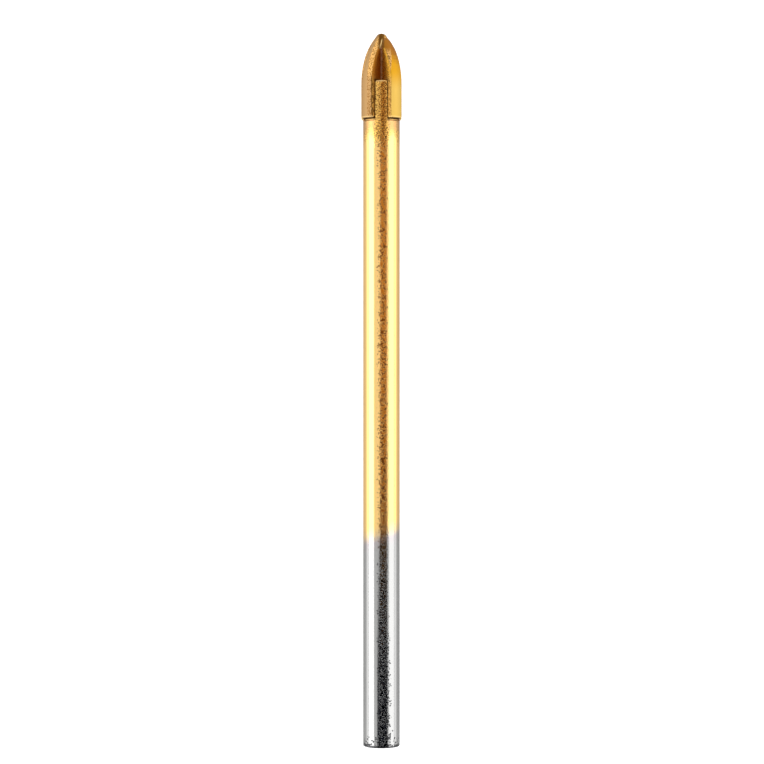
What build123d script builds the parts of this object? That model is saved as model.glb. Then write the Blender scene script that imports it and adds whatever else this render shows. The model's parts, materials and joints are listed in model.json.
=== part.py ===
from build123d import *
import math
import os

os.makedirs("parts", exist_ok=True)

# Driving dimensions of the bit, in millimetres and degrees
overall_length = 100.0
cutting_diameter = 6.25
shank_diameter = 5.15
plate_thickness = 2.1
head_length = 12.1
ogive_length = 7.2
point_width = 0.95
point_rounding = 0.75
wing_standout = 6.8
shank_end_chamfer = 0.1
shoulder_chamfer = 0.18
nose_taper = 0.05

# Brazed joint between the carbide and the slotted steel
braze_gap = 0.075
braze_floor = 0.3
braze_fillet = 0.2
braze_recess = 0.1
slot_corner_radius = 0.2

# Pressed blanks and the grinding of the head
grinding_allowance = 0.3
foot_rounding = 0.35
foot_corner_chamfer = 0.2
relief_swing = 2.3
relief_lean = 1.24
relief_lean_centre = 2.1
gash_start = 2.2
gash_point_radius = 0.2
gash_depth = 1.5
gash_lead_in = 4.0
gash_root_radius = 0.08

# Heights along the axis, measured from the free end of the shank
wing_foot = overall_length - head_length
ogive_foot = overall_length - ogive_length
shoulder = overall_length - wing_standout
slot_floor = wing_foot - braze_floor
cutting_radius = cutting_diameter / 2
shank_radius = shank_diameter / 2
nose_radius = shank_radius - nose_taper
nose_length = shoulder - slot_floor
half_plate = plate_thickness / 2
slot_width = plate_thickness + 2 * braze_gap

# The bit rests on its two lower wings and on the rim of its shank. The wings stand further out
# than the shank does, so the axis rises a little towards the point.
wing_reach = math.sqrt(cutting_radius**2 - half_plate**2)
wing_drop = (wing_reach + half_plate) / math.sqrt(2)
contact_run = wing_foot + foot_rounding - shank_end_chamfer
rest_tilt = math.atan((wing_drop - shank_radius) / contact_run)
rest_height = shank_radius * math.cos(rest_tilt) - shank_end_chamfer * math.sin(rest_tilt)


def spun(plane, angle):
    """The same plane, turned about its own normal."""
    return Plane(plane.location * Rotation(0, 0, angle))


# The bit's own plane. Its origin is the centre of the free end of the shank, its Z runs to the
# point, and its X and Y lie along the two cutting plates, each at 45 degrees to the ground.
bit_start = (0, -overall_length * math.cos(rest_tilt) / 2, rest_height)
bit_direction = (0, math.cos(rest_tilt), math.sin(rest_tilt))
bit = spun(Plane(origin=bit_start, x_dir=(1, 0, 0), z_dir=bit_direction), 45)
along_bit = Axis(bit.origin, bit.z_dir)

# Form of the head, to which the brazed blanks are ground all round: a tangent ogive with a rounded,
# slightly blunt point
ogive_rise = cutting_radius - point_width / 2
ogive_radius = (ogive_rise**2 + ogive_length**2) / (2 * ogive_rise)
ogive_sweep = math.degrees(math.asin(ogive_length / ogive_radius))
with BuildPart() as head_form:
    with BuildSketch(Plane.XZ) as section:
        with BuildLine():
            ogive = CenterArc((cutting_radius - ogive_radius, ogive_foot), ogive_radius, 0, ogive_sweep)
            Polyline(
                ogive @ 0,
                (cutting_radius, wing_foot + foot_corner_chamfer),
                (cutting_radius - foot_corner_chamfer - 1, wing_foot - 1),
                (0, wing_foot - 1),
                (0, overall_length),
                ogive @ 1,
            )
        make_face()
        fillet(section.vertices().group_by(Axis.Y)[-1].sort_by(Axis.X)[-1], point_rounding)
    revolve(axis=Axis.Z)

# Relief behind one cutting edge. The same form, swung about the point towards the edge and leaning
# out along the wing, leaves the edge whole and backs off the trailing side of the wing.
point = Location((0, 0, overall_length))
lean_centre = Location((0, 0, overall_length - relief_lean_centre))
swing = point * Rotation(relief_swing, 0, 0) * point.inverse()
lean = lean_centre * Rotation(0, -relief_lean, 0) * lean_centre.inverse()
with BuildPart() as relief_cut:
    with BuildSketch(Plane.XY.offset(wing_foot - 1)):
        Rectangle(cutting_diameter, plate_thickness + braze_gap, align=(Align.MIN, Align.CENTER))
    extrude(amount=head_length + 2)
    with Locations(swing * lean):
        add(head_form.part, mode=Mode.SUBTRACT)

# Gash that thins the web: a vee with a rounded root, which leaves the corner between two plates
# and runs in to the point. The wheel's path starts below, clear of the plates.
gash_root = Vector(half_plate, half_plate, overall_length - gash_start)
gash_end = Vector(gash_point_radius / math.sqrt(2), gash_point_radius / math.sqrt(2), overall_length)
gash_run = gash_end - gash_root
gash_plane = Plane(origin=gash_root, x_dir=(1, -1, 0), z_dir=gash_run)
with BuildPart() as gash_cut:
    with BuildSketch(gash_plane.offset(-gash_lead_in)) as vee:
        Polygon((0, 0), (gash_depth, gash_depth), (-gash_depth, gash_depth), align=None)
        fillet(vee.vertices().sort_by(Axis.Y)[0], gash_root_radius)
    extrude(amount=gash_lead_in + gash_run.length + 1)

# Crossed slots sawn into the end of the shank, with the saw's rounded corners at the floor
with BuildPart() as slot_form:
    with BuildSketch(Plane.XY.offset(slot_floor)):
        Rectangle(shank_diameter + 1, slot_width)
        Rectangle(slot_width, shank_diameter + 1)
    extrude(amount=head_length)
    fillet(slot_form.faces().sort_by(Axis.Z)[0].edges(), slot_corner_radius)

# Steel shank, turned from bar. Its slotted nose tapers a little towards the shoulder.
foot_down = (Align.CENTER, Align.CENTER, Align.MIN)
with BuildPart(bit) as shank:
    with BuildSketch(bit):
        Circle(shank_radius)
    extrude(amount=slot_floor)
    with Locations((0, 0, slot_floor)):
        Cone(shank_radius, nose_radius, nose_length, align=foot_down)
    chamfer(shank.edges().sort_by(along_bit)[0], shank_end_chamfer)
    chamfer(shank.edges().sort_by(along_bit)[-1], shoulder_chamfer)
    add(slot_form.part, mode=Mode.SUBTRACT)
shank.part.label = "shank"
export_step(shank.part, "parts/shank.step")

# Main cutter, one carbide plate right across the bit
with BuildPart(bit) as main_cutter:
    with BuildSketch(bit.offset(wing_foot)):
        Rectangle(cutting_diameter + grinding_allowance, plate_thickness)
    extrude(amount=head_length)
    foot_edges = main_cutter.edges().filter_by(Axis(bit.origin, bit.x_dir)).sort_by(along_bit)[:2]
    fillet(foot_edges, foot_rounding)
    add(head_form.part, mode=Mode.INTERSECT)
    with PolarLocations(0, 2):
        add(relief_cut.part, mode=Mode.SUBTRACT)
    with PolarLocations(0, 4):
        add(gash_cut.part, mode=Mode.SUBTRACT)
main_cutter.part.label = "main_cutter"
export_step(main_cutter.part, "parts/main_cutter.step")

# Side cutters, two half plates that butt against the faces of the main cutter
side_inner = half_plate + braze_gap
side_width = cutting_radius + grinding_allowance / 2 - side_inner
side_cutters = []
for side, turn in (("left", 90), ("right", 270)):
    wing = spun(bit, turn)
    with BuildPart(wing) as side_cutter:
        with BuildSketch(wing.offset(wing_foot)):
            with Locations((side_inner + side_width / 2, 0)):
                Rectangle(side_width, plate_thickness)
        extrude(amount=head_length)
        foot_edges = side_cutter.edges().filter_by(Axis(wing.origin, wing.x_dir)).sort_by(along_bit)[:2]
        fillet(foot_edges, foot_rounding)
        add(head_form.part, mode=Mode.INTERSECT)
        add(relief_cut.part, mode=Mode.SUBTRACT)
        with PolarLocations(0, 4):
            add(gash_cut.part, mode=Mode.SUBTRACT)
    side_cutter.part.label = "side_cutter_" + side
    export_step(side_cutter.part, "parts/side_cutter_" + side + ".step")
    side_cutters.append(side_cutter)

# Braze, one casting of filler that takes up the gaps: the slots below the shoulder, where it sinks
# a little under the surface of the steel, and above it the butt joints of the side cutters and a
# hollow fillet in each corner between two plates
with BuildPart(bit) as slot_fill:
    with Locations((0, 0, slot_floor)):
        Cone(shank_radius - braze_recess, nose_radius - braze_recess, nose_length, align=foot_down)
    add(slot_form.part, mode=Mode.INTERSECT)

with BuildPart(bit) as corner_fill:
    fillet_centre = half_plate + braze_fillet
    with BuildSketch(bit.offset(shoulder)):
        Rectangle(2 * fillet_centre, 2 * fillet_centre)
        with GridLocations(2 * fillet_centre, 2 * fillet_centre, 2, 2):
            Circle(braze_fillet, mode=Mode.SUBTRACT)
    extrude(amount=wing_standout)
    add(head_form.part, mode=Mode.INTERSECT)
    with PolarLocations(0, 4):
        add(relief_cut.part, mode=Mode.SUBTRACT)
        add(gash_cut.part, mode=Mode.SUBTRACT)

with BuildPart() as braze:
    add(slot_fill.part)
    add(corner_fill.part)
    add(main_cutter.part, mode=Mode.SUBTRACT)
    for side_cutter in side_cutters:
        add(side_cutter.part, mode=Mode.SUBTRACT)
braze.part.label = "braze"
export_step(braze.part, "parts/braze.step")
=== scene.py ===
"""Looks of a multi-material drill bit: a carbide head brazed into a steel shank, with a gold nitride coat."""

import json
import math

import bpy
from bpy.props import FloatProperty, FloatVectorProperty, PointerProperty
from mathutils import Matrix, Vector


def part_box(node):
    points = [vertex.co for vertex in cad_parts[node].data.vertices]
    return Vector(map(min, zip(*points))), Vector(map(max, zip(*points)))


bl_info = {
    "name": "Multi-material drill bit",
    "version": (1, 0, 0),
    "blender": (4, 5, 0),
    "location": "View3D > Sidebar > Drill Bit",
    "description": "Finishes, stage and camera for a carbide-tipped drill bit",
    "category": "Object",
}

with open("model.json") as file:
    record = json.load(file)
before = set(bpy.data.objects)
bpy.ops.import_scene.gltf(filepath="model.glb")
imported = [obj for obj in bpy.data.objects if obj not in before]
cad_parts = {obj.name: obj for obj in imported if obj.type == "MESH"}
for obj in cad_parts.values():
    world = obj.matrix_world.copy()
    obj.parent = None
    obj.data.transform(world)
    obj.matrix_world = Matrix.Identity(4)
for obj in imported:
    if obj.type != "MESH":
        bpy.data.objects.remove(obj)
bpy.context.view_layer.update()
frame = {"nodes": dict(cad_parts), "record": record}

MM = 0.001

# Where the bit lies: its axis leaves the shank's free end and rises a little to the point
shank_mount = next(m for m in frame["record"]["mounts"] if m["name"] == "shank")
AXIS_DIRECTION = -Vector(shank_mount["axis"]).normalized()
AXIS_POINT = Vector(shank_mount["pos_m"])
AXIS_TILT = math.atan2(AXIS_DIRECTION.z, AXIS_DIRECTION.y)
SHANK_END = AXIS_POINT + AXIS_DIRECTION * (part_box("shank")[0].y - AXIS_POINT.y) / AXIS_DIRECTION.y

# Heights above the shank's free end and half widths, in millimetres
WING_FOOT = (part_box("main_cutter")[0].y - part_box("shank")[0].y) / MM
SHOULDER = (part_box("shank")[1].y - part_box("shank")[0].y) / MM
POINT = (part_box("main_cutter")[1].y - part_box("shank")[0].y) / MM
SHANK_RADIUS = shank_mount["dims"]["r_mm"]
PLATE_FACE = 1.05


def linear(hex_colour):
    """The linear red, green and blue of an sRGB hex colour."""
    values = [int(hex_colour[i : i + 2], 16) / 255 for i in (1, 3, 5)]
    return [v / 12.92 if v <= 0.04045 else ((v + 0.055) / 1.055) ** 2.4 for v in values]


def colour_property(name, description, hex_colour):
    return FloatVectorProperty(
        name=name, description=description, subtype="COLOR", size=3, min=0, max=1, default=linear(hex_colour)
    )


def length_property(name, description, millimetres):
    return FloatProperty(
        name=name, description=description, default=millimetres * MM, unit="LENGTH", precision=5
    )


class DrillBitSettings(bpy.types.PropertyGroup):
    coat: colour_property("Coat", "Gold nitride coat on the turned steel", "#F7CB81")
    blasted_coat: colour_property("Blasted coat", "Coat on the blasted steel between the wings", "#FFCB6C")
    # Painted shade: a darker coat on the steel just below the wings
    painted_wing_shade: colour_property("Painted wing shade", "Coat on the steel just below the wings", "#CB9E65")
    # Painted shade in the hollows of the grainy skins, the braze and the pits in the coat
    hollow_shade: colour_property("Shade in hollows", "Coat in the hollows of the rough skins", "#7E5523")
    coat_edge: colour_property("Coat edge", "Pale gold where the coat starts to thin", "#DAC19A")
    coat_veil: colour_property("Coat veil", "Violet tint of the last thin coat", "#AFA8A9")
    steel: colour_property("Bare steel", "Turned steel past the end of the coat", "#AAAAA9")
    # Painted shade in the pits of the bare steel
    steel_pit_shade: colour_property("Steel pits", "Dark pits in the bare steel", "#3C3C3E")
    main_coat: colour_property("Main cutter coat", "Coat on the plate that runs right across", "#A78558")
    # Painted light: the half plates' coats are lighter copies of the main cutter's, for the dimmer right lamp
    lit_side_coat: colour_property("Half plate coat", "Coat on the two half plates", "#D0AD56")
    amber_coat: colour_property("Amber coat", "Thicker, redder coat on the half plates' ogive", "#CC9820")
    land_coat: colour_property("Rough land coat", "Coat on the rough band of the ground wings", "#B18C5B")
    tip_coat: colour_property("Tip coat", "Coppery coat on the last of the ogive", "#A66D23")
    rough_coat: colour_property("Rough coat", "Coat on the unground carbide", "#DDAF69")
    wall_coat: colour_property("Wall coat", "Thin brown coat on the faces of the main cutter", "#B0863F")
    # Painted shade: the main cutter's faces darker in the corners over the shoulder
    deep_coat: colour_property("Deep coat", "The same in the corners over the shoulder", "#A2691F")
    # Painted light: lighter copies of the main cutter's wall and corner coats
    lit_side_wall_coat: colour_property("Half plate wall coat", "Brighter coat on their faces", "#D4AA5B")
    lit_side_deep_coat: colour_property("Half plate deep coat", "The same over the shoulder", "#E7AF3F")
    # Painted shade in the gashes beside the point
    gash_shade: colour_property("Gash shade", "Dark coat on the gashes that thin the point", "#7C551F")
    # Painted highlight on sharp edges: the shoulder's rim, the wings' feet and the floor of the gashes
    edge_highlight: colour_property("Edge highlight", "Thin pale coat on sharp edges", "#FDDF9E")
    crevice: colour_property("Crevice", "Scale left in the seams and along the unground edges", "#4B3212")
    braze: colour_property("Braze", "Brazing filler under the coat", "#9B6F52")
    floor: colour_property("Floor", "Grey floor, which the camera sees as white", "#CDCDCD")
    card_middle: colour_property("Card, middle", "Brown of the card where the coat mirrors it", "#B17C29")
    card_head: colour_property("Card, head end", "Grey of the card beyond the point", "#555555")
    card_chuck: colour_property("Card, chuck end", "Black of the card where bare steel mirrors it", "#121927")
    coat_end: length_property("Coat end", "Height above the shank's free end where the coat stops", 29.5)
    coat_fade: length_property("Coat fade", "Length over which the coat thins out", 4.0)
    grain: length_property("Grain", "Size of the grains on the blasted steel and carbide", 0.18)
    pit: length_property("Pit", "Size of the pits in the turned steel", 0.195)


def add_node(tree, kind, inputs=None, output=0, **settings):
    """Adds a node, sets its properties, sets or links its inputs, and gives one of its output sockets."""
    node = tree.nodes.new(kind)
    for name, value in settings.items():
        setattr(node, name, value)
    for name, value in (inputs or {}).items():
        if isinstance(value, bpy.types.NodeSocket):
            tree.links.new(value, node.inputs[name])
        else:
            node.inputs[name].default_value = value
    return node.outputs[output] if node.outputs else None


def coverage(tree, *fades, full=1.0):
    """How much of a finish shows. Each fade is a value, where it starts to show and where it is full.

    With several fades, all of them have to be full. A start may be the larger, to fade downwards.
    """
    for value, start, end in fades:
        limits = {"Value": value, "From Min": start, "From Max": end, "To Max": full}
        full = add_node(tree, "ShaderNodeMapRange", limits, interpolation_type="SMOOTHSTEP")
    return full


def layered(tree, colour, *layers):
    """A colour with others laid over it in turn, each as far as its coverage goes."""
    colours = [colour, *(layer for _, layer in layers)]
    colours = [c if isinstance(c, bpy.types.NodeSocket) else (*c[:3], 1.0) for c in colours]
    below = colours[0]
    for (amount, _), above in zip(layers, colours[1:]):
        below = add_node(tree, "ShaderNodeMix", {0: amount, 6: below, 7: above}, 2, data_type="RGBA")
    return below


# Forms of the noise patterns: rounded swellings, sharper grains like those that grit leaves, the fine
# ripple of a turned skin, and the ragged edge of a coat that thins out
SWELLING = {"Detail": 2.0, "Roughness": 0.5, "Distortion": 0.5}
GRAINY = {"Detail": 3.0, "Roughness": 0.6, "Distortion": 0.5}
RIPPLED = {"Detail": 2.0, "Roughness": 0.6, "Distortion": 0.5}
RAGGED = {"Detail": 4.0, "Roughness": 0.65, "Distortion": 0.5}

# Mean of a noise pattern, and the depths in a grainy one at which the painted shade of a hollow starts to
# show and is full
NOISE_MEAN = 0.5
SHADED_HOLLOW = (0.54, 0.40)


def base_material(name):
    """A material with an empty node tree."""
    material = bpy.data.materials.new(name)
    material.use_nodes = True
    material.node_tree.nodes.clear()
    return material, material.node_tree


def bit_space(tree):
    """Place in millimetres on the bit's own axes: X across, Y up from the shank's end, Z to the front."""
    place = add_node(tree, "ShaderNodeTexCoord", output="Object")
    turned = {"Vector": place, "Location": SHANK_END, "Rotation": (AXIS_TILT, 0, 0), "Scale": (MM, MM, MM)}
    place = add_node(tree, "ShaderNodeMapping", turned, vector_type="TEXTURE")
    across, along, front = add_node(tree, "ShaderNodeSeparateXYZ", {"Vector": place}).node.outputs
    return place, across, along, front


def finish(tree, colour, roughness, height, depth_mm):
    """A metal shader with a bump whose height runs from 0 to a depth in millimetres."""
    bump = {"Strength": 1.0, "Distance": depth_mm * MM, "Height": height}
    normal = add_node(tree, "ShaderNodeBump", bump)
    metal = {"Metallic": 1.0, "Base Color": colour, "Roughness": roughness, "Normal": normal}
    shader = add_node(tree, "ShaderNodeBsdfPrincipled", metal)
    add_node(tree, "ShaderNodeOutputMaterial", {"Surface": shader})


# Materials


def coated_steel(settings):
    """Low-alloy steel, turned, blasted beside the head, nitride coated, and bare at the chuck end.

    The turned skin is a bright mirror with a little swell and small pits, and the blasted skin is dull; the
    pits and the hollows of the blasted skin are darkened with painted shade.
    """
    material, tree = base_material("nitride_coated_turned_steel")
    place, across, along, _ = bit_space(tree)
    aside = add_node(tree, "ShaderNodeMath", {0: across}, operation="ABSOLUTE")

    # The coat ends on a slant, with a ragged edge a millimetre high, and goes pale, then violet, then bare
    end_slant = -0.33
    ragged_size = 1.6
    ragged = add_node(tree, "ShaderNodeTexNoise", {"Vector": place, "Scale": 1 / ragged_size, **RAGGED})
    height = add_node(tree, "ShaderNodeMath", {0: across, 1: end_slant, 2: along}, operation="MULTIPLY_ADD")
    height = add_node(tree, "ShaderNodeMath", {0: height, 1: ragged}, operation="ADD")
    end = settings.coat_end / MM + NOISE_MEAN
    reach = settings.coat_fade / MM / 2
    veil = 0.3 * reach
    thin = coverage(tree, (height, end + reach, end))
    veiled = coverage(tree, (height, end + veil, end - veil))
    bare = coverage(tree, (height, end, end - reach))

    # The blasted skin starts between the wings, in an arch under each, and ends at the shoulder's rim
    arch_middle = 1.58
    arch_steepness = 3.4
    arch_height = 1.4
    swell_size = 0.5
    arch = add_node(tree, "ShaderNodeMath", {0: aside, 1: arch_middle}, operation="SUBTRACT")
    arch = add_node(tree, "ShaderNodeMath", {0: arch, 1: arch}, operation="MULTIPLY")
    arch = add_node(tree, "ShaderNodeMath", {0: arch, 1: arch_steepness, 2: along}, operation="MULTIPLY_ADD")
    crown = add_node(tree, "ShaderNodeMath", {0: along, 1: arch_height}, operation="ADD")
    nose = add_node(tree, "ShaderNodeMath", {0: arch, 1: crown}, operation="MINIMUM")
    swell = add_node(tree, "ShaderNodeTexNoise", {"Vector": place, "Scale": 1 / swell_size, **SWELLING})
    nose = add_node(tree, "ShaderNodeMath", {0: nose, 1: swell}, operation="ADD")
    on_nose = (nose, WING_FOOT - 2.6, WING_FOOT - 0.2)
    blasted = coverage(tree, on_nose)
    # Painted highlight along the shoulder's rim
    rim = coverage(tree, (along, SHOULDER - 0.25, SHOULDER - 0.15))

    # Grit leaves hollows of about 0.1 mm, which are drawn larger so that they show, darkened with painted
    # shade
    grain = add_node(tree, "ShaderNodeTexNoise", {"Vector": place, "Scale": MM / settings.grain, **GRAINY})
    shaded_hollow = coverage(tree, (grain, *SHADED_HOLLOW))
    rough_coat = layered(tree, settings.blasted_coat, (shaded_hollow, settings.hollow_shade))

    # Painted shade just below each wing, away from the middle: a darker coat where the wings would dim the
    # shank's reflections
    under_wing_shade = coverage(tree, (along, WING_FOOT - 2.7, WING_FOOT - 0.9), (aside, 0.75, 1.15))

    # Small pits, each a cell of its own, drawn larger than the real ones and darkened with painted shade: in
    # a strip down the middle, front and back, spilling over to the right on the bare steel, and crowded at
    # the cut end
    left_of_strip = (across, -0.75, -0.1)
    right_of_strip = (across, 0.95, 0.4)
    below_head = (along, WING_FOOT - 0.5, WING_FOOT - 2.5)
    middle = coverage(tree, left_of_strip, right_of_strip, below_head, full=0.5)
    widening = coverage(tree, (along, 26.0, 2.0), full=-0.6)
    narrowed = add_node(tree, "ShaderNodeMath", {0: across, 1: widening}, operation="ADD")
    on_bare = (height, end, end - reach)
    spill = coverage(tree, on_bare, (across, -0.4, 0.1), (narrowed, 1.2, 0.2), full=0.42)
    cut_end = coverage(tree, (along, 2.0, 0.5), full=0.35)
    rim_pits = coverage(tree, (along, 0.7, 0.1), full=0.6)
    crowd = add_node(tree, "ShaderNodeMath", {0: middle, 1: spill}, operation="MAXIMUM")
    crowd = add_node(tree, "ShaderNodeMath", {0: crowd, 1: cut_end}, operation="MAXIMUM")
    crowd = add_node(tree, "ShaderNodeMath", {0: crowd, 1: rim_pits}, operation="ADD")
    cell = {"Vector": place, "Scale": MM / settings.pit}
    cell = add_node(tree, "ShaderNodeTexVoronoi", cell, "Color")
    chance = add_node(tree, "ShaderNodeSeparateColor", {"Color": cell})
    excess = add_node(tree, "ShaderNodeMath", {0: crowd, 1: chance}, operation="SUBTRACT")
    in_pit = (excess, 0.0, 0.03)
    pitted = coverage(tree, in_pit)
    shaded_coat_pits = coverage(tree, in_pit, full=0.7)
    darker = {"Value": along, "From Min": 28.0, "From Max": 8.0, "To Min": 0.6, "To Max": 0.95}
    darker = add_node(tree, "ShaderNodeMapRange", darker)
    shaded_steel_pits = coverage(tree, in_pit, full=darker)
    bare_steel = layered(tree, settings.steel, (shaded_steel_pits, settings.steel_pit_shade))

    colour = layered(
        tree,
        settings.coat,
        (blasted, rough_coat),
        (rim, settings.edge_highlight),
        (under_wing_shade, settings.painted_wing_shade),
        (thin, settings.coat_edge),
        (veiled, settings.coat_veil),
        (shaded_coat_pits, settings.hollow_shade),
        (bare, bare_steel),
    )

    # The turned skin swells more to the right of the middle, front and back, and less where it is bare
    wander_size = 1.1
    wander_by = 0.8
    ripple_size = 0.2
    calmest = 0.05
    pit_floor = -0.6
    wander = add_node(tree, "ShaderNodeTexNoise", {"Vector": place, "Scale": 1 / wander_size, **GRAINY})
    drift = add_node(tree, "ShaderNodeMath", {0: wander, 1: wander_by, 2: across}, operation="MULTIPLY_ADD")
    smoother = add_node(tree, "ShaderNodeMapRange", {"Value": bare, "To Min": 1.0, "To Max": 0.45})
    coarse = coverage(tree, (drift, 0.0, 0.4), (drift, 2.0, 1.0), full=smoother)
    coarse = add_node(tree, "ShaderNodeMath", {0: coarse, 1: calmest}, operation="ADD")
    ripple = add_node(tree, "ShaderNodeTexNoise", {"Vector": place, "Scale": 1 / ripple_size, **RIPPLED})
    relief = add_node(tree, "ShaderNodeMath", {0: ripple, 1: coarse}, operation="MULTIPLY")
    rough = coverage(tree, on_nose, full=1.7)
    relief = add_node(tree, "ShaderNodeMath", {0: grain, 1: rough, 2: relief}, operation="MULTIPLY_ADD")
    relief = add_node(tree, "ShaderNodeMath", {0: pitted, 1: pit_floor, 2: relief}, operation="MULTIPLY_ADD")
    roughness = add_node(tree, "ShaderNodeMapRange", {"Value": blasted, "To Min": 0.15, "To Max": 0.24})
    finish(tree, colour, roughness, relief, depth_mm=0.02)
    return material


def ground_carbide(settings, name, angle, coats, widening, patchiness, ogive_tint, scaled_rim):
    """Cemented carbide plate under a nitride coat: a ground land down each wing, the pressed skin beside it.

    Grinding leaves the land satin, with fine lines round the bit. Pressing and sintering leave a grainy skin,
    whose hollows hold painted shade.
    """
    material, tree = base_material(name)
    place, across, along, front = bit_space(tree)
    coat, wall_coat, deep_coat = coats

    # Each plate's own axes: how far out along the wing, and the offset from the plate's middle, counted
    # towards the cutting edge of the wing it is on
    turned = {"Vector": place, "Angle": math.radians(angle)}
    turned = add_node(tree, "ShaderNodeVectorRotate", turned, rotation_type="Y_AXIS")
    offset, _, reach = add_node(tree, "ShaderNodeSeparateXYZ", {"Vector": turned}).node.outputs
    wing_side = add_node(tree, "ShaderNodeMath", {0: reach}, operation="SIGN")
    offset = add_node(tree, "ShaderNodeMath", {0: offset, 1: wing_side}, operation="MULTIPLY")
    from_middle = add_node(tree, "ShaderNodeMath", {0: offset}, operation="ABSOLUTE")
    reach = add_node(tree, "ShaderNodeMath", {0: reach}, operation="ABSOLUTE")

    # The trailing edge of the land falls back by a fixed width for each millimetre below the point
    land_top = POINT - 3.7
    trail_at_top = -0.49
    trail = trail_at_top - widening * land_top
    leaned = add_node(tree, "ShaderNodeMath", {0: along, 1: -widening, 2: offset}, operation="MULTIPLY_ADD")
    pressed = coverage(tree, (leaned, trail + 0.02, trail - 0.05))
    if scaled_rim:
        past_lead = coverage(tree, (offset, 0.22, 0.30))
        pressed = add_node(tree, "ShaderNodeMath", {0: pressed, 1: past_lead}, operation="MAXIMUM")

    # Pressed skin, whose grains are drawn larger than the real ones so that they show, with painted shade in
    # the hollows
    grain = add_node(tree, "ShaderNodeTexNoise", {"Vector": place, "Scale": MM / settings.grain, **GRAINY})
    shaded_hollow = coverage(tree, (grain, *SHADED_HOLLOW))
    lower = coverage(tree, (along, POINT - 4.8, POINT - 7.2))
    skin = layered(tree, settings.rough_coat, (lower, settings.land_coat), (shaded_hollow, settings.hollow_shade))

    # The faces of the plate, with painted shade in the corners over the shoulder on the main plate and
    # painted light there on the half plates, and with patches of scale below it
    patch_size = 0.5
    on_face = (from_middle, PLATE_FACE - 0.07, PLATE_FACE - 0.02)
    wall = coverage(tree, on_face)
    painted_corner = coverage(tree, (along, SHOULDER - 0.4, SHOULDER + 1.0))
    shaded_wall_hollow = coverage(tree, (grain, *SHADED_HOLLOW), full=0.7)
    patchy = add_node(tree, "ShaderNodeTexNoise", {"Vector": place, "Scale": 1 / patch_size, **GRAINY})
    patch = coverage(tree, (patchy, 0.54, 0.46), (along, SHOULDER + 0.4, SHOULDER - 0.4), full=patchiness)
    wall_colour = layered(
        tree, wall_coat, (painted_corner, deep_coat), (shaded_wall_hollow, settings.hollow_shade), (patch, settings.crevice)
    )

    # Scale in the seam beside the steel and along the unground lead edge, and a dark line on the foot, which
    # is partly the dark joint and partly painted shadow under the wing
    beside_steel = (reach, SHANK_RADIUS - 0.035, SHANK_RADIUS - 0.155)
    below_shoulder = (along, SHOULDER + 0.3, SHOULDER)
    seam = coverage(tree, on_face, beside_steel, below_shoulder, full=1.0 if scaled_rim else 0.5)
    if scaled_rim:
        lead_edge = (offset, PLATE_FACE - 0.17, PLATE_FACE - 0.10)
        past_edge = (offset, PLATE_FACE - 0.004, PLATE_FACE - 0.010)
        rim = coverage(tree, lead_edge, (along, POINT - 5.0, POINT - 7.0), past_edge)
        seam = add_node(tree, "ShaderNodeMath", {0: seam, 1: rim}, operation="MAXIMUM")
    broken = add_node(tree, "ShaderNodeTexNoise", {"Vector": place, "Scale": 1 / patch_size, **SWELLING})
    seam = coverage(tree, (broken, 0.30, 0.55), full=seam)
    foot_joint_shadow = coverage(tree, (along, WING_FOOT + 0.16, WING_FOOT + 0.08))

    # The ground land, with fine lines round the bit, drawn wider apart than the real ones
    lines_per_mm = (0.15, 4.0, 0.15)
    wave_height = 3.0
    stretched = add_node(tree, "ShaderNodeMapping", {"Vector": place, "Scale": lines_per_mm})
    line = add_node(tree, "ShaderNodeTexNoise", {"Vector": stretched, "Scale": 1.0, **GRAINY})
    wavy = add_node(tree, "ShaderNodeMath", {0: line, 1: wave_height, 2: along}, operation="MULTIPLY_ADD")
    amber = coverage(tree, (along, POINT - 8.4, POINT - 5.2), full=ogive_tint)
    tip = coverage(tree, (wavy, POINT - 3.4, POINT - 0.8), full=ogive_tint)
    last = coverage(tree, (along, POINT - 3.1, POINT - 2.1), full=ogive_tint)
    land = layered(tree, coat, (amber, settings.amber_coat), (tip, settings.tip_coat))

    # The gashes beside the point, cut by the side of a fine wheel, darkened with painted shade, and a painted
    # highlight along the floor between them
    front_off = add_node(tree, "ShaderNodeMath", {0: front}, operation="ABSOLUTE")
    side_off = add_node(tree, "ShaderNodeMath", {0: across}, operation="ABSOLUTE")
    nearest = add_node(tree, "ShaderNodeMath", {0: side_off, 1: front_off}, operation="MINIMUM")
    shaded_gash = coverage(tree, (nearest, 0.46, 0.34), (along, POINT - 2.5, POINT - 2.1))
    facing = add_node(tree, "ShaderNodeMath", {0: front}, operation="SIGN")
    highlight_lean = 0.21
    highlight_offset = 0.13
    highlight_middle = POINT - 1.9
    slant = {0: along, 1: -highlight_lean, 2: highlight_offset + highlight_lean * highlight_middle}
    slant = add_node(tree, "ShaderNodeMath", slant, operation="MULTIPLY_ADD")
    slant = add_node(tree, "ShaderNodeMath", {0: across, 1: facing, 2: slant}, operation="MULTIPLY_ADD")
    slant = add_node(tree, "ShaderNodeMath", {0: slant}, operation="ABSOLUTE")
    gash_floor_highlight = coverage(tree, (slant, 0.12, 0.05), (along, POINT - 0.7, POINT - 1.1), full=shaded_gash)
    # Painted highlight along the edge just above each wing's foot
    foot_edge_highlight = coverage(tree, (along, WING_FOOT + 0.36, WING_FOOT + 0.28), full=0.35)

    colour = layered(
        tree,
        land,
        (pressed, skin),
        (last, settings.tip_coat),
        (wall, wall_colour),
        (shaded_gash, settings.gash_shade),
        (gash_floor_highlight, settings.edge_highlight),
        (foot_edge_highlight, settings.edge_highlight),
        (seam, settings.crevice),
        (foot_joint_shadow, settings.crevice),
    )

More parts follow.
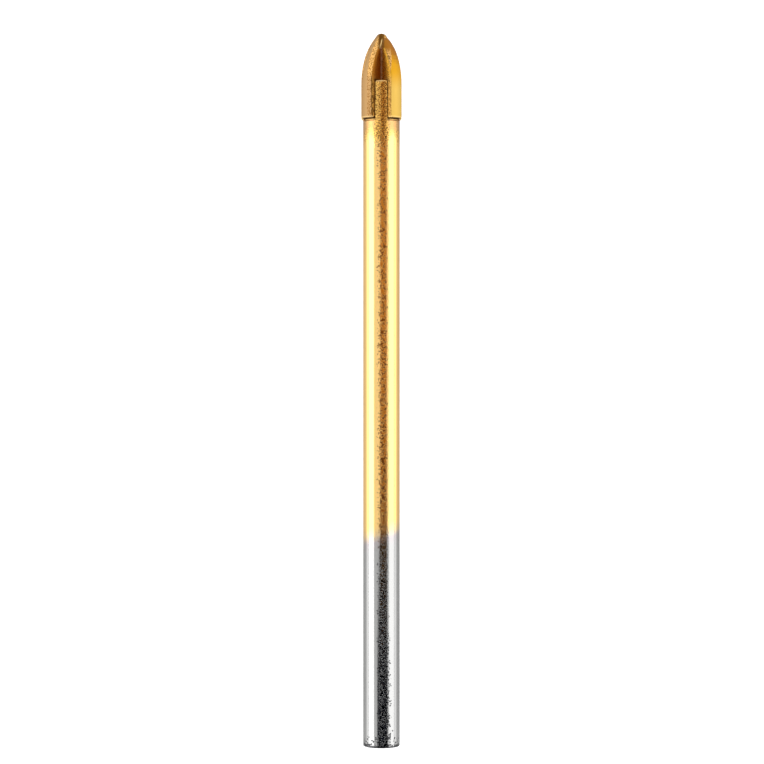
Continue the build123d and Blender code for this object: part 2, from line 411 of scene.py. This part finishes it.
    scratch_depth = 0.25
    scratch = add_node(tree, "ShaderNodeMath", {0: line, 1: scratch_depth}, operation="MULTIPLY")
    relief = add_node(tree, "ShaderNodeMix", {0: pressed, 2: scratch, 3: grain}, data_type="FLOAT")
    calmer = add_node(tree, "ShaderNodeMapRange", {"Value": wall, "To Min": 1.0, "To Max": 0.3})
    relief = add_node(tree, "ShaderNodeMath", {0: relief, 1: calmer}, operation="MULTIPLY")
    roughness = add_node(tree, "ShaderNodeMapRange", {"Value": wall, "To Min": 0.58, "To Max": 0.28})
    finish(tree, colour, roughness, relief, depth_mm=0.02)
    return material


def brazing_filler(settings):
    """Silver brazing filler, frozen with a grainy skin, which the coat turns brown, with painted shade in the
    hollows of the grain.
    """
    material, tree = base_material("coated_brazing_filler")
    place, _, along, _ = bit_space(tree)
    grain_size = 0.25
    grain = add_node(tree, "ShaderNodeTexNoise", {"Vector": place, "Scale": 1 / grain_size, **GRAINY})
    hump = coverage(tree, (grain, 0.6, 0.4))

    # Dark scale against the steel in the slots, with a pale line along the middle of the slot's floor
    scale = coverage(tree, (along, SHOULDER + 0.1, SHOULDER - 0.2))
    pale_line_height = WING_FOOT - 0.12
    above = (along, pale_line_height - 0.08, pale_line_height - 0.03)
    below = (along, pale_line_height + 0.08, pale_line_height + 0.03)
    pale_line = coverage(tree, above, below)
    colour = layered(
        tree,
        settings.hollow_shade,
        (hump, settings.braze),
        (scale, settings.crevice),
        (pale_line, settings.rough_coat),
    )
    finish(tree, colour, roughness=0.4, height=grain, depth_mm=0.03)
    return material


def dress(node, material):
    """Gives a carried-over CAD node its finish."""
    piece = frame["nodes"][node]
    piece.data.materials.clear()
    piece.data.materials.append(material)


class DRILLBIT_OT_shank_finish(bpy.types.Operator):
    """Coats the shank and leaves its chuck end bare"""

    bl_idname = "drillbit.shank_finish"
    bl_label = "Shank Finish"

    def execute(self, context):
        dress("shank", coated_steel(context.scene.drill_bit))
        return {"FINISHED"}


class DRILLBIT_OT_main_cutter_finish(bpy.types.Operator):
    """Finishes the carbide plate that runs right across the bit, at 45 degrees to the front"""

    bl_idname = "drillbit.main_cutter_finish"
    bl_label = "Main Cutter Finish"

    def execute(self, context):
        settings = context.scene.drill_bit
        plate = ground_carbide(
            settings,
            "coated_carbide_main_plate",
            angle=45,
            coats=(settings.main_coat, settings.wall_coat, settings.deep_coat),
            widening=0.085,
            patchiness=0.8,
            ogive_tint=0.0,
            scaled_rim=True,
        )
        dress("main_cutter", plate)
        return {"FINISHED"}


class DRILLBIT_OT_side_cutter_finish(bpy.types.Operator):
    """Finishes the two half plates, whose ogive has a thicker coat, in coats painted lighter than the main
    cutter's, painted light that makes up for the dimmer right lamp
    """

    bl_idname = "drillbit.side_cutter_finish"
    bl_label = "Side Cutter Finish"

    def execute(self, context):
        settings = context.scene.drill_bit
        plate = ground_carbide(
            settings,
            "coated_carbide_half_plates",
            angle=135,
            coats=(settings.lit_side_coat, settings.lit_side_wall_coat, settings.lit_side_deep_coat),
            widening=0.26,
            patchiness=0.3,
            ogive_tint=1.0,
            scaled_rim=False,
        )
        dress("side_cutter_left", plate)
        dress("side_cutter_right", plate)
        return {"FINISHED"}


class DRILLBIT_OT_braze_finish(bpy.types.Operator):
    """Finishes the braze between the cutters and the shank"""

    bl_idname = "drillbit.braze_finish"
    bl_label = "Braze Finish"

    def execute(self, context):
        dress("braze", brazing_filler(context.scene.drill_bit))
        return {"FINISHED"}


# Stage

# The camera looks straight down, and the frame's width is measured at the height of the bit's axis
CAMERA_DISTANCE = 0.340
FRAME_WIDTH = 0.10731
VIEW_CENTRE = Vector((0.00008, 0.00110, AXIS_POINT.z))
SENSOR_WIDTH = 36.0
NEAREST_IN_VIEW = 0.01

# Brightness that makes the floor white to the camera, and the distances from the bit's axis between
# which the floor brightens in the bit's reflections, leaving a painted shadow round the bit that only
# reflections see
FLOOR_WIDTH = 3.0
FLOOR_GLOW = 0.75
FLOOR_DARK_TO = 0.006
FLOOR_BRIGHT_FROM = 0.026

LAMP_OFFSET = 0.26
LAMP_HEIGHT = 0.125
LAMP_LENGTH = 0.9
LAMP_WIDTH = 0.21
LEFT_LAMP_RADIANCE = 2.0
RIGHT_LAMP_RADIANCE = 1.35

CARD_PLACE = Vector((0.071, 0, 0.30))
CARD_WIDTH = 0.60
CARD_LENGTH = 0.9
CARD_PAINTED_HALF = 0.131
CARD_SOFT_EDGE = 0.005


def soft_box(name, side, radiance):
    """An upright soft box beside the bit, of even radiance and with its length along the bit."""
    data = bpy.data.lights.new(name, "AREA")
    data.shape = "RECTANGLE"
    data.size = LAMP_LENGTH
    data.size_y = LAMP_WIDTH
    data.energy = radiance * math.pi * LAMP_LENGTH * LAMP_WIDTH
    lamp = bpy.data.objects.new(name, data)
    bpy.context.scene.collection.objects.link(lamp)
    place = Vector((side * LAMP_OFFSET, 0, LAMP_HEIGHT))
    gaze = Vector((-side, 0, 0)).to_track_quat("-Z", "Y")
    lamp.matrix_world = Matrix.Translation(place) @ gaze.to_matrix().to_4x4()


def plane(name, place, width, length, material):
    """A flat piece of the stage, which is no part of the bit."""
    bpy.ops.mesh.primitive_plane_add(size=1, location=place)
    piece = bpy.context.object
    piece.name = name
    piece.scale = (width, length, 1)
    bpy.ops.object.transform_apply(location=True, rotation=True, scale=True)
    piece.data.materials.append(material)
    return piece


def floor_paint(settings):
    """Pale matt paint: white to the camera, and in the bit's reflections brighter away from the bit, a
    painted shadow round the bit.
    """
    material, tree = base_material("pale_matt_floor")
    rays = add_node(tree, "ShaderNodeLightPath").node.outputs
    place = add_node(tree, "ShaderNodeTexCoord", output="Object")
    aside = add_node(tree, "ShaderNodeSeparateXYZ", {"Vector": place}, "X")
    aside = add_node(tree, "ShaderNodeMath", {0: aside}, operation="ABSOLUTE")
    glow_beyond_painted_shadow = coverage(tree, (aside, FLOOR_DARK_TO, FLOOR_BRIGHT_FROM), full=rays["Is Glossy Ray"])
    level = {0: rays["Is Camera Ray"], 1: FLOOR_GLOW, 2: glow_beyond_painted_shadow}
    level = add_node(tree, "ShaderNodeMath", level, operation="MULTIPLY_ADD")
    glow = add_node(tree, "ShaderNodeEmission", {"Strength": level})
    matt = add_node(tree, "ShaderNodeBsdfDiffuse", {"Color": (*settings.floor, 1.0)})
    both = add_node(tree, "ShaderNodeAddShader", {0: matt, 1: glow})
    add_node(tree, "ShaderNodeOutputMaterial", {"Surface": both})
    return material


def card_paint(settings):
    """Card that shows brown to the coat, grey beyond the point, and black, and wider, to the bare end."""
    material, tree = base_material("dark_card")
    place = add_node(tree, "ShaderNodeTexCoord", output="Object")
    across, along, _ = add_node(tree, "ShaderNodeSeparateXYZ", {"Vector": place}).node.outputs
    head_end = coverage(tree, (along, 0.100, 0.130))
    chuck_end = coverage(tree, (along, -0.028, -0.040))
    colour = layered(
        tree, settings.card_middle, (head_end, settings.card_head), (chuck_end, settings.card_chuck)
    )
    glow = add_node(tree, "ShaderNodeEmission", {"Color": colour})
    clear = add_node(tree, "ShaderNodeBsdfTransparent")

    # Clear round the painted middle, which flares towards the chuck end and shifts to the left there
    flare = coverage(tree, (along, -0.040, -0.080), full=0.065)
    shift = coverage(tree, (along, -0.045, -0.090), full=0.02)
    aside = add_node(tree, "ShaderNodeMath", {0: across, 1: shift}, operation="ADD")
    aside = add_node(tree, "ShaderNodeMath", {0: aside, 1: CARD_PLACE.x}, operation="SUBTRACT")
    aside = add_node(tree, "ShaderNodeMath", {0: aside}, operation="ABSOLUTE")
    aside = add_node(tree, "ShaderNodeMath", {0: aside, 1: flare}, operation="SUBTRACT")
    solid = coverage(tree, (aside, CARD_PAINTED_HALF + CARD_SOFT_EDGE, CARD_PAINTED_HALF))
    both = add_node(tree, "ShaderNodeMixShader", {0: solid, 1: clear, 2: glow})
    add_node(tree, "ShaderNodeOutputMaterial", {"Surface": both})
    return material


class DRILLBIT_OT_stage(bpy.types.Operator):
    """Adds the floor, the lamps, the dark card above the bit and the camera"""

    bl_idname = "drillbit.stage"
    bl_label = "Stage and Camera"

    def execute(self, context):
        settings = context.scene.drill_bit
        plane("floor", (0, 0, 0), FLOOR_WIDTH, FLOOR_WIDTH, floor_paint(settings))
        soft_box("left_softbox", -1, LEFT_LAMP_RADIANCE)
        soft_box("right_softbox", 1, RIGHT_LAMP_RADIANCE)

        # Only the bit's reflections see the card, which stands for the camera that they would show
        card = plane("dark_card", CARD_PLACE, CARD_WIDTH, CARD_LENGTH, card_paint(settings))
        card.visible_camera = False
        card.visible_diffuse = False
        card.visible_shadow = False

        world = bpy.data.worlds.new("studio")
        context.scene.world = world
        world.use_nodes = True
        world.node_tree.nodes.clear()
        white = {"Color": (*linear("#FFFFFF"), 1.0), "Strength": 1.0}
        sky = add_node(world.node_tree, "ShaderNodeBackground", white)
        add_node(world.node_tree, "ShaderNodeOutputWorld", {"Surface": sky})

        camera_data = bpy.data.cameras.new("camera")
        camera = bpy.data.objects.new("camera", camera_data)
        context.scene.collection.objects.link(camera)
        camera.location = VIEW_CENTRE + Vector((0, 0, CAMERA_DISTANCE))
        camera_data.sensor_width = SENSOR_WIDTH
        camera_data.lens = SENSOR_WIDTH * CAMERA_DISTANCE / FRAME_WIDTH
        camera_data.clip_start = NEAREST_IN_VIEW
        context.scene.camera = camera
        context.scene.view_settings.view_transform = "Standard"
        return {"FINISHED"}


class DRILLBIT_PT_panel(bpy.types.Panel):
    """Lists the settings, the pieces and the stage in the 3D view's sidebar"""

    bl_idname = "DRILLBIT_PT_panel"
    bl_label = "Drill Bit"
    bl_space_type = "VIEW_3D"
    bl_region_type = "UI"
    bl_category = "Drill Bit"

    def draw(self, context):
        for name in DrillBitSettings.__annotations__:
            self.layout.prop(context.scene.drill_bit, name)
        for operator in OPERATORS:
            self.layout.operator(operator.bl_idname)


OPERATORS = (
    DRILLBIT_OT_shank_finish,
    DRILLBIT_OT_main_cutter_finish,
    DRILLBIT_OT_side_cutter_finish,
    DRILLBIT_OT_braze_finish,
    DRILLBIT_OT_stage,
)


def register():
    for item in (DrillBitSettings, *OPERATORS, DRILLBIT_PT_panel):
        bpy.utils.register_class(item)
    bpy.types.Scene.drill_bit = PointerProperty(type=DrillBitSettings)


def unregister():
    del bpy.types.Scene.drill_bit
    for item in (DRILLBIT_PT_panel, *reversed(OPERATORS), DrillBitSettings):
        bpy.utils.unregister_class(item)


def main():
    register()
    bpy.ops.object.select_all(action="DESELECT")
    bpy.ops.drillbit.shank_finish()
    bpy.ops.drillbit.main_cutter_finish()
    bpy.ops.drillbit.side_cutter_finish()
    bpy.ops.drillbit.braze_finish()
    bpy.ops.drillbit.stage()


if __name__ == "__main__":
    main()
